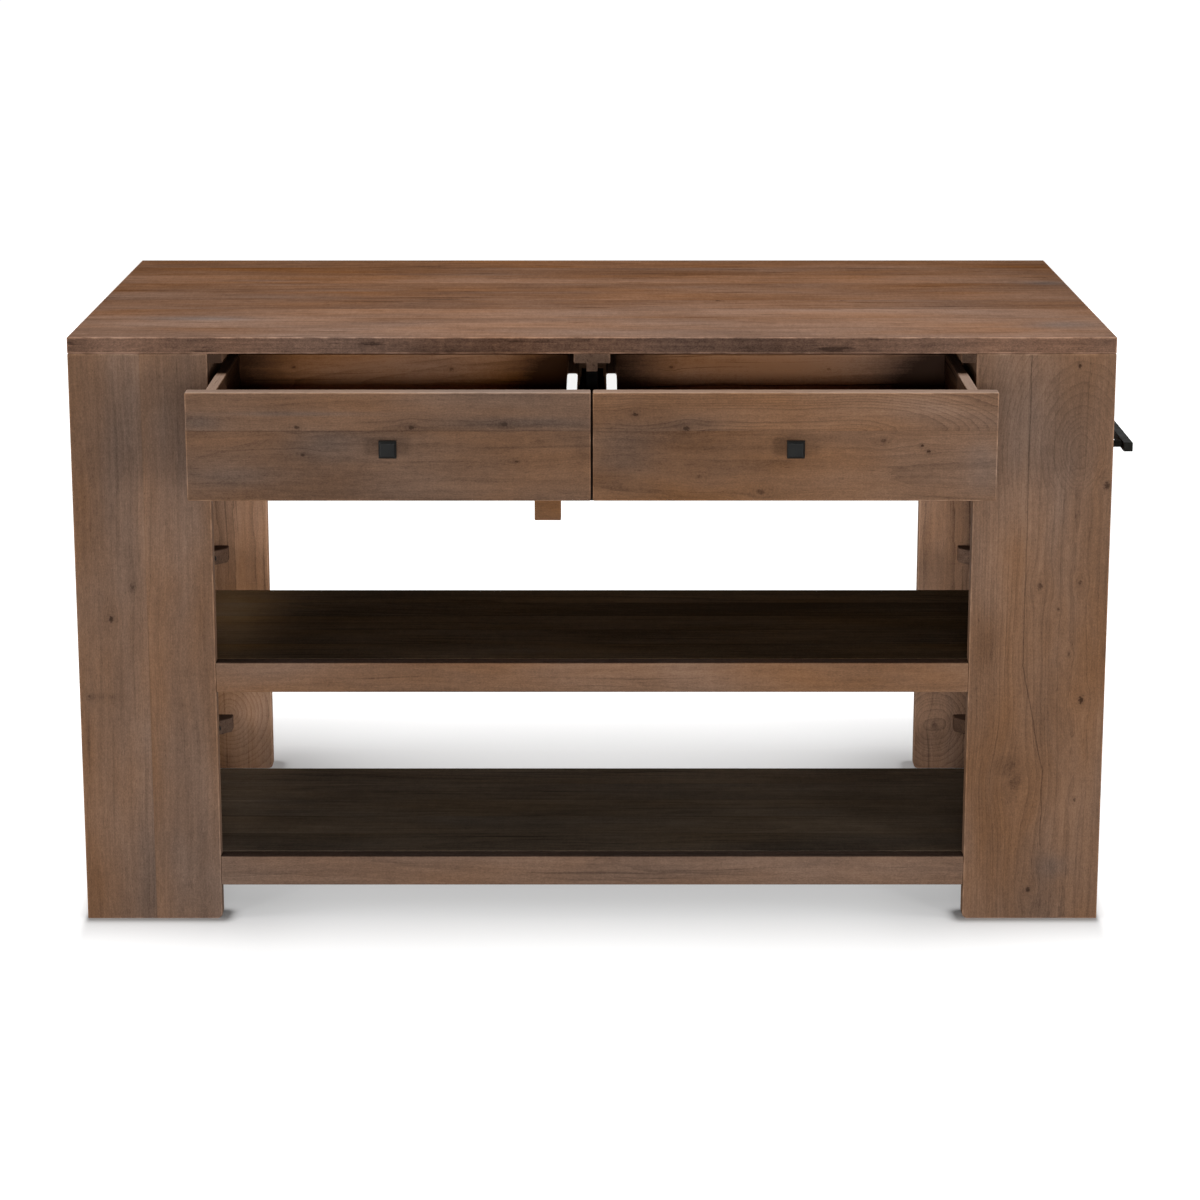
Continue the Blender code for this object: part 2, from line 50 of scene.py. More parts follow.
class Graph:
    """A node tree, with helpers that add a node and hand back its output."""

    def __init__(self, owner):
        owner.use_nodes = True
        self.tree = owner.node_tree
        self.tree.nodes.clear()

    def add(self, kind, **settings):
        node = self.tree.nodes.new("ShaderNode" + kind)
        for key, value in settings.items():
            setattr(node, key, value)
        return node

    def feed(self, socket, value):
        if isinstance(value, bpy.types.NodeSocket):
            self.tree.links.new(value, socket)
        else:
            socket.default_value = value

    def math(self, operation, *values):
        node = self.add("Math", operation=operation)
        for socket, value in zip(node.inputs, values):
            self.feed(socket, value)
        return node.outputs[0]

    def plus(self, first, second):
        return self.math("ADD", first, second)

    def minus(self, first, second):
        return self.math("SUBTRACT", first, second)

    def times(self, first, second):
        return self.math("MULTIPLY", first, second)

    def least(self, first, second):
        return self.math("MINIMUM", first, second)

    def most(self, first, second):
        return self.math("MAXIMUM", first, second)

    def size_of(self, value):
        return self.math("ABSOLUTE", value)

    def squares(self, first, second):
        return self.plus(self.times(first, first), self.times(second, second))

    def decay(self, value, rate):
        """One at zero, falling off exponentially."""
        return self.math("EXPONENT", self.times(value, -rate))

    def vector(self, x, y, z):
        node = self.add("CombineXYZ")
        for socket, value in zip(node.inputs, (x, y, z)):
            self.feed(socket, value)
        return node.outputs[0]

    def noise(self, vector, scale=1.0, detail=2.0, roughness=0.5):
        node = self.add("TexNoise", noise_dimensions="3D")
        self.feed(node.inputs["Vector"], vector)
        node.inputs["Scale"].default_value = scale
        node.inputs["Detail"].default_value = detail
        node.inputs["Roughness"].default_value = roughness
        return node.outputs["Fac"]

    def swing(self, vector, amount, **settings):
        """Noise about zero, amount wide."""
        return self.times(self.minus(self.noise(vector, **settings), 0.5), amount)

    def remap(self, value, low, high, to_low, to_high, smooth=False):
        node = self.add("MapRange", clamp=True,
                        interpolation_type="SMOOTHSTEP" if smooth else "LINEAR")
        for key, item in (("Value", value), ("From Min", low), ("From Max", high),
                          ("To Min", to_low), ("To Max", to_high)):
            self.feed(node.inputs[key], item)
        return node.outputs["Result"]

    def ramp(self, value, stops):
        node = self.add("ValToRGB")
        points = node.color_ramp.elements
        while len(points) < len(stops):
            points.new(1.0)
        for point, (place, colour) in zip(points, stops):
            point.position = place
            point.color = (*colour, 1.0)
        self.feed(node.inputs["Fac"], value)
        return node.outputs["Color"]

    def blend(self, share, first, second):
        """A colour between two others."""
        node = self.add("Mix", data_type="RGBA")
        self.feed(node.inputs["Factor"], share)
        for key, value in (("A", first), ("B", second)):
            socket = [item for item in node.inputs if item.name == key and item.type == "RGBA"][0]
            self.feed(socket, value if isinstance(value, bpy.types.NodeSocket) else (*value, 1.0))
        return [item for item in node.outputs if item.type == "RGBA"][0]

    def choose(self, share, first, second):
        """A number between two others."""
        node = self.add("Mix", data_type="FLOAT")
        for socket, value in zip(node.inputs, (share, None, first, second)):
            if value is not None:
                self.feed(socket, value)
        return node.outputs[0]

    def background_rays(self):
        """One for the rays that see the background: the camera's, and those through gloss and glass."""
        rays = self.add("LightPath").outputs
        return self.most(rays["Is Camera Ray"], self.most(rays["Is Glossy Ray"], rays["Is Transmission Ray"]))


class Shader(Graph):
    """A material's node tree."""

    def __init__(self, name):
        self.material = bpy.data.materials.new(name)
        super().__init__(self.material)

    def place(self):
        """The point on the surface, in metres in the row frame."""
        where = self.add("TexCoord").outputs["Object"]
        parts = self.add("SeparateXYZ")
        self.feed(parts.inputs[0], where)
        return list(parts.outputs)

    def end(self, surface):
        self.feed(self.add("OutputMaterial").inputs["Surface"], surface)
        return self.material

    def finish(self, colour, roughness, height, relief, specular):
        shader = self.add("BsdfPrincipled")
        self.feed(shader.inputs["Base Color"], colour)
        self.feed(shader.inputs["Roughness"], roughness)
        shader.inputs["Specular IOR Level"].default_value = specular
        bump = self.add("Bump")
        bump.inputs["Strength"].default_value = BUMP_STRENGTH
        bump.inputs["Distance"].default_value = relief
        self.feed(bump.inputs["Height"], height)
        self.feed(shader.inputs["Normal"], bump.outputs[0])
        return self.end(shader.outputs[0])


# Stained acacia, from the darkest streak to the palest worn wood.
STAIN = (
    (0.00, (0.042, 0.024, 0.016)),
    (0.25, (0.090, 0.052, 0.034)),
    (0.50, (0.158, 0.090, 0.056)),
    (0.75, (0.235, 0.136, 0.084)),
    (1.00, (0.340, 0.205, 0.132)),
)
STAIN_MIDDLE = 0.5
# The white of the painted highlight on the lit front of the drawers' inner sides' tops.
HIGHLIGHT_WHITE = (0.86, 0.86, 0.85)

# How often each kind of figure comes in a metre, along and across the grain.
DRIFTS = (2.2, 5.0)
RAGS = (14.0, 60.0)
RING_PATCHES = (2.6, 16.0)
CLOUDS = (3.2, 9.0)
STREAKS = (4.0, 140.0)
FLAMES = (55.0, 120.0)
RIPPLES = (190.0, 26.0)
FIBRES = (40.0, 640.0)
GRAINS = (360.0, 560.0)
PORES = (110.0, 900.0)
MOODS = (2.6, 9.0)
RUBS = 45.0
KNOT_RAGS = 420.0
CRACK_WOBBLES = 30.0
SPACINGS = 18.0

# The step from one board's seed to the next, where they are dressed alike.
SEED_STEP = 5.0

# What is added to a board's seed, so that its patterns differ from each other.
DRAW_SEED, RAG_SEED, SPACING_SEED, PATCH_SEED, VEIN_SEED, MOOD_SEED = 0.37, 3.0, 5.0, 9.0, 13.0, 21.0
CRACK_SEED = 0.5

# Sizes and strengths that all boards share. Lengths are in metres, strengths in steps of the stain.
LOG_LENGTH = 17.0
DRIFT = 0.035
KNOT_RAG = 1.6
KNOT_STRETCH = 0.65
KNOT_PULL, KNOT_PULL_RATE = 0.8, 0.10
KNOT_CORE = 0.7
KNOT_HALO, KNOT_HALO_RATE = 0.3, 0.5
PITH_ASIDE, PITH_SLOPE, PITH_SPREAD, PITH_DEPTH = 1.4, 0.14, 0.06, 0.015
RING_FAINT, HEART_FAINT = 0.05, 0.7
RING_PRESENCE = (0.42, 0.66)
RING_RAG, RING_SPACING = 0.006, 0.07
RING_SHARPNESS = 4.0
RING_MEAN = 0.2
VEIN_PRESENCE = (0.62, 0.72)
PORE_PRESENCE = (0.66, 0.78)
RIPPLE_SHARE = 0.28
FIBRE, FLECK = 0.22, 0.16
MOOD_SPAN, MOOD_SHARES = (0.3, 0.7), (0.87, 1.13)
CRACK_WIDTH, CRACK_WOBBLE, CRACK_DARK, CRACK_DEPTH = (0.0003, 0.0013), 0.004, 0.22, 1.5
FACE_SKIN = 0.001
GLUE_WIDTH = (0.0003, 0.0012)
# Pale arrises, partly wear and partly painted highlight: how wide they are, and the span and least share of
# their patches.
RUB_WIDTH, RUB_SPAN, RUB_LEAST = 0.003, (0.35, 0.65), 0.25
FIBRE_SPAN, ROUGHNESS = (0.3, 0.7), (0.68, 0.56)
PORE_DEPTH = 5.0
WOOD_RELIEF = 0.00025
STRIP_SKIN, STRIP_ROUND, STRIP_POWER = 0.0008, 0.016, 6.0

# A board's look where it doesn't set its own.
LOOK = dict(
    staves=1, glue=None, glue_dark=0.13, stave_step=0.16, seed=0.0, lift=0.0, saturation=1.0, hue=0.5,
    heart=None, knots=(), smudges=(), cracks=(), faces=(), fade=None, white_strip=None,
    blotch=0.55, streak=0.26, vein=(2.4, 210.0, 0.21), mottle=0.26, speckle=0.40,
    ring=0.14, ring_count=95.0, wear=0.20, specular=0.004)


class Board(Shader):
    """Stained boards with grain along one axis, in glued staves, with rings, streaks and knots.

    The look's places are in metres in the row frame, along and across the grain.
    glue lists the glue lines across the board, else the staves are even.
    heart is (along, across, depth, slope, stave, below, above) of a pith that one stave's rings lie
    around. The rings close over it so far below and above.
    A knot is (along, across, radius, darkness), and a crack a list of (along, across) points.
    A smudge is (along, across, length, width, darkness, greyness).
    faces tints whole faces, each (axis, end, lift, saturation) and, where the tint ends along the
    grain, the two places between which it fades.
    fade is the (lift, saturation) at the two edges of the board.
    vein is how often dark mineral lines come along and across the grain, and how dark they are.
    white_strip is the level above which the top of the board is painted white, a painted highlight of its lit
    front part, and the depth at which it ends, where the shade begins.
    """

    def __init__(self, node, grain, look):
        super().__init__(node + "_acacia")
        self.look = look
        self.low, self.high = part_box(node)
        self.size = [high - low for low, high in zip(self.low, self.high)]
        self.wide, self.thick = sorted((axis for axis in range(3) if axis != grain),
                                       key=lambda axis: -self.size[axis])
        self.point = self.place()
        self.along, self.across, self.depth = (self.point[axis] for axis in (grain, self.wide, self.thick))
        self.lay_staves()
        self.set_knots()
        self.bend_grain()

    def lay_staves(self):
        """Each stave has its own tint and its own place in the log."""
        start, width = self.low[self.wide], self.size[self.wide]
        count = self.look.staves
        self.glue = self.look.glue
        if self.glue is None:
            self.glue = [start + width * index / count for index in range(1, count)]
        self.stave = 0.0
        for line in self.glue:
            self.stave = self.plus(self.math("GREATER_THAN", self.across, line), self.stave)
        chance = self.add("TexWhiteNoise", noise_dimensions="1D")
        self.feed(chance.inputs["W"], self.plus(self.stave, self.look.seed + DRAW_SEED))
        split = self.add("SeparateColor")
        self.feed(split.inputs[0], chance.outputs["Color"])
        self.draws = list(split.outputs)

    def everywhere(self, rate):
        """The point for noise that comes equally often in all directions."""
        return self.vector(*[self.times(item, rate) for item in self.point])

    def set_knots(self):
        """Knots push the grain aside, with a ragged dark core and a soft brown ring."""
        self.bent = self.across
        self.dark = 0.0
        if not self.look.knots:
            return
        rag = self.swing(self.everywhere(KNOT_RAGS), KNOT_RAG, detail=3.0)
        for along, across, radius, darkness in self.look.knots:
            run = self.times(self.minus(self.along, along), KNOT_STRETCH / radius)
            side = self.minus(self.across, across)
            far = self.squares(run, self.times(side, 1.0 / radius))
            pull = self.times(self.times(side, self.decay(far, KNOT_PULL_RATE)), KNOT_PULL)
            self.bent = self.minus(self.bent, pull)
            core = self.remap(self.plus(far, rag), 0.0, KNOT_CORE, darkness, 0.0, smooth=True)
            halo = self.times(self.decay(far, KNOT_HALO_RATE), KNOT_HALO * darkness)
            self.dark = self.plus(self.plus(core, halo), self.dark)

    def bend_grain(self):
        """The place in the log, with a slow wandering of the grain."""
        self.shifted = self.plus(self.along, self.times(self.draws[0], LOG_LENGTH))
        drift = self.swing(self.stretch(DRIFTS, self.look.seed, self.bent), DRIFT)
        self.wander = self.plus(self.bent, drift)

    def stretch(self, rates, depth=None, across=None):
        """The point for noise that comes so often along and across the grain."""
        along_rate, across_rate = rates
        return self.vector(self.times(self.shifted, along_rate),
                           self.times(self.wander if across is None else across, across_rate),
                           self.times(self.depth, across_rate) if depth is None else depth)

    def rings(self):
        """Annual rings round the pith: each darkens slowly outwards and ends in a line."""
        look = self.look
        draw_a, draw_b, draw_c = self.draws
        pitch = self.size[self.wide] / (len(self.glue) + 1)
        middle = self.plus(self.times(self.plus(self.stave, 0.5), pitch), self.low[self.wide])
        aside = self.times(self.minus(draw_a, 0.5), PITH_ASIDE * pitch)
        offset = self.minus(self.minus(self.wander, middle), aside)
        slope = self.times(self.minus(draw_b, 0.5), PITH_SLOPE)
        deep = self.plus(self.times(self.along, slope), self.plus(self.times(draw_c, PITH_SPREAD), PITH_DEPTH))
        faint = RING_FAINT
        if look.heart:
            along, across, depth, slope, stave, below, above = look.heart
            here = self.math("COMPARE", self.stave, float(stave), 0.5)
            rise = self.minus(self.along, along)
            rise = self.most(self.least(rise, above), self.least(self.times(rise, -1.0), below))
            offset = self.choose(here, offset, self.minus(self.wander, across))
            deep = self.choose(here, deep, self.plus(self.times(rise, slope), depth))
            faint = self.remap(here, 0.0, 1.0, RING_FAINT, HEART_FAINT)
        deep = self.plus(deep, self.minus(self.depth, self.low[self.thick]))
        radius = self.math("SQRT", self.squares(offset, deep))
        ragged = self.swing(self.stretch(RAGS, look.seed + RAG_SEED), RING_RAG, detail=3.0)
        spacing = self.swing(self.vector(self.times(radius, SPACINGS), draw_b, look.seed + SPACING_SEED),
                             RING_SPACING)
        phase = self.times(self.plus(radius, self.plus(ragged, spacing)), look.ring_count)
        late = self.math("POWER", self.math("FRACT", phase), RING_SHARPNESS)
        presence = self.noise(self.stretch(RING_PATCHES, look.seed + PATCH_SEED))
        return self.times(self.times(late, self.remap(presence, *RING_PRESENCE, faint, 1.0)), look.ring)

    def veins(self):
        """Thin dark mineral lines."""
        *rates, darkness = self.look.vein
        depth = self.plus(self.times(self.depth, rates[1]), self.look.seed + VEIN_SEED)
        return self.remap(self.noise(self.stretch(rates, depth)), *VEIN_PRESENCE, 0.0, darkness, smooth=True)

    def figure(self):
        """The stain's depth from rings, streaks, fibres, clouds, mottle, veins and pores."""
        look = self.look
        clouds = self.swing(self.stretch(CLOUDS), look.blotch, detail=4.0, roughness=0.55)
        streaks = self.swing(self.stretch(STREAKS), look.streak, detail=3.0, roughness=0.6)
        flames = self.swing(self.stretch(FLAMES), look.mottle, detail=5.0, roughness=0.8)
        ripples = self.swing(self.stretch(RIPPLES), RIPPLE_SHARE * look.mottle)
        grains = self.swing(self.stretch(GRAINS), look.speckle, roughness=0.7)
        self.fine = self.noise(self.stretch(FIBRES, across=self.bent), detail=3.0, roughness=0.6)
        fibres = self.times(self.minus(self.fine, 0.5), FIBRE)
        pores = self.noise(self.stretch(PORES), detail=1.0)
        self.pores = self.remap(pores, *PORE_PRESENCE, 0.0, FLECK, smooth=True)
        tint = self.times(self.minus(self.draws[1], 0.5), look.stave_step)
        value = self.plus(STAIN_MIDDLE + look.lift + RING_MEAN * look.ring, tint)
        for part in (streaks, fibres, clouds, flames, ripples, grains):
            value = self.plus(value, part)
        for part in (self.rings(), self.veins(), self.pores, self.dark):
            value = self.minus(value, part)
        return value

    def smudge(self, value, vivid):
        """Dark and grey, or pale and warm, patches at places on the board."""
        for along, across, length, width, darkness, greyness in self.look.smudges:
            run = self.times(self.minus(self.along, along), 1.0 / length)
            side = self.times(self.minus(self.across, across), 1.0 / width)
            spot = self.decay(self.squares(run, side), 1.0)
            if darkness:
                value = self.minus(value, self.times(spot, darkness))
            if greyness:
                vivid = self.minus(vivid, self.times(spot, greyness))
        return value, vivid

    def cracks(self):
        """Hairline cracks, each through a list of points."""
        gap = 0.0
        for crack in self.look.cracks:
            centre = crack[0][1]
            for (start, start_side), (stop, stop_side) in zip(crack, crack[1:]):
                centre = self.plus(self.remap(self.along, start, stop, 0.0, stop_side - start_side), centre)
            first, last = sorted((crack[0][0], crack[-1][0]))
            inside = self.times(self.math("GREATER_THAN", self.along, first),
                                self.math("LESS_THAN", self.along, last))
            wobble = self.swing(self.vector(self.times(self.along, CRACK_WOBBLES), self.look.seed, CRACK_SEED),
                                CRACK_WOBBLE)
            away = self.size_of(self.minus(self.plus(self.across, wobble), centre))
            line = self.times(self.remap(away, *CRACK_WIDTH, 1.0, 0.0, smooth=True), inside)
            gap = self.plus(line, gap)
        return gap

    def tint_faces(self, value, vivid):
        """Tints of whole faces, most of them painted highlights and painted shade, and of the board from one
        edge to the other, a painted sheen.
        """
        for axis, end, lift, saturation, *reach in self.look.faces:
            if end < 0:
                facing = self.math("LESS_THAN", self.point[axis], self.low[axis] + FACE_SKIN)
            else:
                facing = self.math("GREATER_THAN", self.point[axis], self.high[axis] - FACE_SKIN)
            if reach:
                facing = self.times(facing, self.remap(self.along, *reach, 1.0, 0.0, smooth=True))
            value = self.plus(value, self.times(facing, lift))
            if saturation != 1.0:
                vivid = self.times(vivid, self.remap(facing, 0.0, 1.0, 1.0, saturation))
        if self.look.fade:
            (near_lift, near_vivid), (far_lift, far_vivid) = self.look.fade
            span = (self.low[self.wide], self.high[self.wide])
            value = self.plus(value, self.remap(self.across, *span, near_lift, far_lift))
            vivid = self.times(vivid, self.remap(self.across, *span, near_vivid, far_vivid))
        return value, vivid

    def glue_lines(self, value):
        for line in self.glue:
            away = self.size_of(self.minus(self.across, line))
            value = self.minus(value, self.remap(away, *GLUE_WIDTH, self.look.glue_dark, 0.0, smooth=True))
        return value

    def rubbed_and_lit_arrises(self):
        """Pale arrises, partly wear and partly painted highlight: where the middle one of the three distances
        to the board's faces is small.
        """
        gaps = [self.least(self.minus(self.point[axis], self.low[axis]),
                           self.minus(self.high[axis], self.point[axis])) for axis in range(3)]
        middle = self.most(self.least(gaps[0], gaps[1]), self.least(self.most(gaps[0], gaps[1]), gaps[2]))
        worn = self.remap(middle, 0.0, RUB_WIDTH, self.look.wear, 0.0, smooth=True)
        patches = self.noise(self.everywhere(RUBS))
        return self.times(worn, self.remap(patches, *RUB_SPAN, RUB_LEAST, 1.0))

    def paint_highlight_strip(self, colour):
        """A painted highlight: the lit front of the top edge painted white, with a rounded rear end where the
        shade begins.
        """
        level, limit = self.look.white_strip
        middle = (self.low[X] + self.high[X]) / 2
        off = self.times(self.size_of(self.minus(self.point[X], middle)), 2.0 / self.size[X])
        rounding = self.times(self.math("POWER", off, STRIP_POWER), STRIP_ROUND)
        strip = self.times(self.math("GREATER_THAN", self.point[Z], level),
                           self.math("LESS_THAN", self.plus(self.point[Y], rounding), limit))
        return self.blend(strip, colour, HIGHLIGHT_WHITE)

    def build(self):
        look = self.look
        value = self.figure()
        mood = self.noise(self.stretch(MOODS, look.seed + MOOD_SEED), detail=3.0)
        vivid = self.remap(mood, *MOOD_SPAN, *[share * look.saturation for share in MOOD_SHARES])
        value, vivid = self.smudge(value, vivid)
        height = self.minus(self.fine, self.times(self.pores, PORE_DEPTH))
        if look.cracks:
            gap = self.cracks()
            value = self.minus(value, self.times(gap, CRACK_DARK))
            height = self.minus(height, self.times(gap, CRACK_DEPTH))
        value, vivid = self.tint_faces(value, vivid)
        value = self.plus(self.glue_lines(value), self.rubbed_and_lit_arrises())
        shade = self.add("HueSaturation")
        shade.inputs["Hue"].default_value = look.hue
        self.feed(shade.inputs["Saturation"], vivid)
        self.feed(shade.inputs["Color"], self.ramp(value, STAIN))
        colour = shade.outputs[0]
        if look.white_strip:
            colour = self.paint_highlight_strip(colour)
        roughness = self.remap(self.fine, *FIBRE_SPAN, *ROUGHNESS)
        return self.finish(colour, roughness, height, WOOD_RELIEF, look.specular)


# How often the cloudy wear of black steel comes in a metre, and what that does to its gloss.
METAL_WEARS = 38.0
METAL_WEAR_SPAN, METAL_GLOSS_SPAN = (0.35, 0.7), (0.3, 0.7)
METAL_POLISH, METAL_DULLING = 0.07, 0.09

# Each black finish: dark and pale colour, roughness, skin bumps in a metre, their height, specular level.
METALS = {
    "satin_black_steel": ((0.002, 0.002, 0.002), (0.005, 0.005, 0.0045), 0.36, 900.0, 0.00012, 0.12),
    "matt_black_steel": ((0.009, 0.009, 0.008), (0.017, 0.017, 0.015), 0.50, 900.0, 0.00012, 0.02),
    # The divider is flat black all over.
    "flat_black": ((0.0025, 0.0022, 0.0020), (0.006, 0.0055, 0.005), 0.75, 700.0, 0.00015, 0.01),
    "black_slide_steel": ((0.003, 0.003, 0.003), (0.007, 0.0065, 0.006), 0.55, 600.0, 0.0001, 0.03),
    "browned_bolt_steel": ((0.008, 0.007, 0.006), (0.022, 0.019, 0.016), 0.50, 800.0, 0.0001, 0.03),
}

# The finish of the nodes whose names end so.
METAL_NODES = {
    "_knob": "satin_black_steel", "towel_bar": "matt_black_steel", "divider": "flat_black",
    "_channel": "black_slide_steel", "_runner": "black_slide_steel", "_bolt": "browned_bolt_steel",
}


def metal(name, dark, pale, roughness, bumps, relief, specular):
    """Black steel with a fine orange-peel skin, and cloudy wear in colour and gloss."""
    graph = Shader(name)
    where = graph.vector(*graph.place())
    peel = graph.noise(where, scale=bumps)
    wear = graph.noise(where, scale=METAL_WEARS, detail=4.0, roughness=0.6)
    colour = graph.blend(graph.remap(wear, *METAL_WEAR_SPAN, 0.0, 1.0), dark, pale)
    gloss = graph.remap(wear, *METAL_GLOSS_SPAN, roughness - METAL_POLISH, roughness + METAL_DULLING)
    return graph.finish(colour, gloss, peel, relief, specular)


def dress(node, material):
    """Put one material on every slot of a node."""
    data = NODES[node].data
    if not data.materials:
        data.materials.append(material)
    for index in range(len(data.materials)):
        data.materials[index] = material


def board(node, grain, **look):
    """Dress a node as stained boards."""
    dress(node, Board(node, grain, SimpleNamespace(**{**LOOK, **look})).build())


def boards(nodes, grain, seed, step=SEED_STEP, **look):
    """Dress several nodes alike, each with a seed of its own."""
    for index, node in enumerate(nodes):
        board(node, grain, seed=seed + step * index, **look)


# Face tints on several boards, painted light and shade: a painted highlight on the drawer fronts' lit tops;
# painted shade on the tops of the shelf lips and corner blocks, on the cleats' front ends, on the drawer sides'
# inner faces and on the drawer fronts' ends where they meet; and on the sides' tops a painted highlight in
# front of the worktop's front edge, with painted shade behind it.
TOP_HIGHLIGHT = (Z, 1, 0.42, 0.78)
LIP_TOP_SHADE = (Z, 1, -0.40, 1.0)
BLOCK_TOP_SHADE = (Z, 1, -0.5, 1.0)
CLEAT_END_SHADE = (Y, -1, -0.55, 1.0)
SIDE_TOP_LIGHT_AND_SHADE = ((Z, 1, 0.72, 0.78, -0.335, -0.290), (Z, 1, -0.30, 1.0))
SIDE_INSIDE_SHADE = (-0.28, 1.1)
MEETING_END_SHADE = (-0.6, 1.0)

WORKTOP = dict(
    staves=9, seed=11.0, lift=0.19, saturation=1.08, hue=0.4945, stave_step=0.24, specular=0.0,
    streak=0.46, blotch=0.66, ring=0.20, mottle=0.50, speckle=0.6, vein=(9.0, 85.0, 0.27), wear=0.80,
    # fade is a painted sheen: paler and greyer towards the front edge, darker and more vivid towards the back.
    fade=((0.07, 0.90), (-0.07, 1.10)), faces=((Y, -1, -0.40, 1.04),),
    smudges=((0.02, -0.3063, 0.40, 0.008, 0.10, 0.0), (0.0, 0.09, 0.30, 0.30, 0.06, 0.0),
             (-0.725, -0.3063, 0.05, 0.008, -0.14, 0.0), (0.50, 0.10, 0.25, 0.30, -0.07, 0.0),
             (-0.268, 0.067, 0.12, 0.008, 0.14, -0.1), (-0.572, 0.251, 0.08, 0.012, 0.08, 0.2),
             (0.40, 0.038, 0.12, 0.008, 0.10, 0.2), (-0.635, -0.131, 0.09, 0.02, 0.08, 0.3),
             (0.699, -0.194, 0.06, 0.03, 0.10, 0.35), (0.733, 0.220, 0.04, 0.02, 0.12, 0.3)),
    knots=((0.180, 0.0379, 0.004, 0.5), (0.379, 0.0379, 0.0035, 0.4), (-0.290, 0.272, 0.0035, 0.25),
           (-0.4427, 0.0, 0.003, 0.25)))

LEGS = {
    "front_left_leg_plank": dict(
        seed=21.0, glue=(-0.701,), glue_dark=0.05, lift=-0.03, ring=0.08, vein=(2.4, 210.0, 0.06), wear=0.5,
        smudges=((0.82, -0.704, 0.14, 0.12, 0.0, 0.08), (0.757, -0.7306, 0.08, 0.03, 0.05, 0.08),
                 (0.796, -0.654, 0.08, 0.03, 0.04, 0.06), (0.87, -0.704, 0.03, 0.007, -0.12, 0.0),
                 (0.616, -0.7036, 0.09, 0.006, -0.10, 0.0), (0.107, -0.652, 0.12, 0.06, 0.06, 0.16),
                 (0.279, -0.653, 0.08, 0.03, 0.05, 0.15), (0.3605, -0.7727, 0.006, 0.028, 0.10, 0.0),
                 (0.29, -0.798, 0.05, 0.003, 0.18, 0.0)),
        knots=((0.4828, -0.7566, 0.0045, 0.35), (0.5334, -0.7219, 0.0035, 0.18),
               (0.3605, -0.794, 0.003, 0.2))),
    "front_right_leg_plank": dict(
        seed=33.0, lift=-0.03, vein=(2.4, 210.0, 0.07), wear=0.5,
        heart=(0.745, 0.7145, 0.002, 0.55, 0, 0.06, 1.0), ring_count=125.0, ring=0.13,
        smudges=((0.788, 0.6592, 0.16, 0.12, -0.03, 0.09), (0.4499, 0.5832, 0.05, 0.02, 0.14, -0.1),
                 (0.2477, 0.6215, 0.015, 0.02, 0.12, 0.0), (0.0862, 0.6956, 0.02, 0.025, 0.12, 0.15),
                 (0.44, 0.706, 0.2, 0.06, -0.03, -0.06)),
        cracks=(((0.893, 0.639), (0.41, 0.639), (0.24, 0.6735), (0.12, 0.6735)),),
        knots=((0.876, 0.7113, 0.0035, 0.35), (0.5345, 0.6615, 0.006, 0.28), (0.5408, 0.7227, 0.004, 0.25),
               (0.4984, 0.6912, 0.003, 0.25), (0.4279, 0.7089, 0.003, 0.22), (0.3542, 0.7298, 0.0055, 0.45),
               (0.2226, 0.6333, 0.013, 0.16), (0.047, 0.6573, 0.0045, 0.35), (0.1936, 0.7253, 0.003, 0.3),
               (0.6928, 0.7585, 0.006, 0.3))),
    "rear_left_leg_plank": dict(
        seed=45.0, staves=2, lift=0.08, saturation=1.08,
        heart=(0.105, -0.672, 0.002, 0.8, 1, 0.12, 0.10), ring_count=115.0, ring=0.24,
        smudges=((0.12, -0.70, 0.16, 0.20, -0.10, 0.0),)),
    "rear_right_leg_plank": dict(
        seed=52.0, staves=2, saturation=0.95,
        heart=(0.082, 0.592, 0.002, 0.8, 0, 0.12, 0.10), ring_count=115.0, ring=0.24,
        knots=((0.082, 0.592, 0.007, 0.2),)),
}

SHELF_PANEL = dict(staves=5, hue=0.521, specular=0.0)
# Painted light on the shelf panels' left-hand ends, where light comes in at the open end: the (along, across,
# length, width) of a pale patch.
SHELF_END_LIGHT = (-0.64, -0.02, 0.10, 0.26)

DRAWER_FRONT = dict(glue=(DRAWER_GLUE,), lift=-0.06, wear=0.65, vein=(3.0, 190.0, 0.08))
# Its top face gets a painted highlight, and its end at the other drawer gets painted shade.
LEFT_DRAWER_FRONT = dict(
    seed=201.0, ring=0.10, faces=(TOP_HIGHLIGHT, (X, 1, *MEETING_END_SHADE)),
    smudges=((-0.111, 0.8203, 0.11, 0.009, 0.15, 0.18), (-0.446, 0.8333, 0.10, 0.0035, 0.12, 0.2),
             (-0.592, 0.82, 0.03, 0.012, 0.10, 0.15), (-0.541, 0.737, 0.07, 0.015, 0.07, 0.14),
             (-0.417, 0.784, 0.05, 0.02, 0.05, 0.2), (-0.155, 0.755, 0.12, 0.04, 0.0, -0.07),
             (-0.0366, 0.777, 0.012, 0.02, 0.1, 0.0)),
    knots=((-0.4515, 0.813, 0.004, 0.30), (-0.4435, 0.772, 0.003, 0.30), (-0.2845, 0.813, 0.004, 0.25),
           (-0.1485, 0.818, 0.004, 0.28), (-0.1315, 0.762, 0.003, 0.25)))
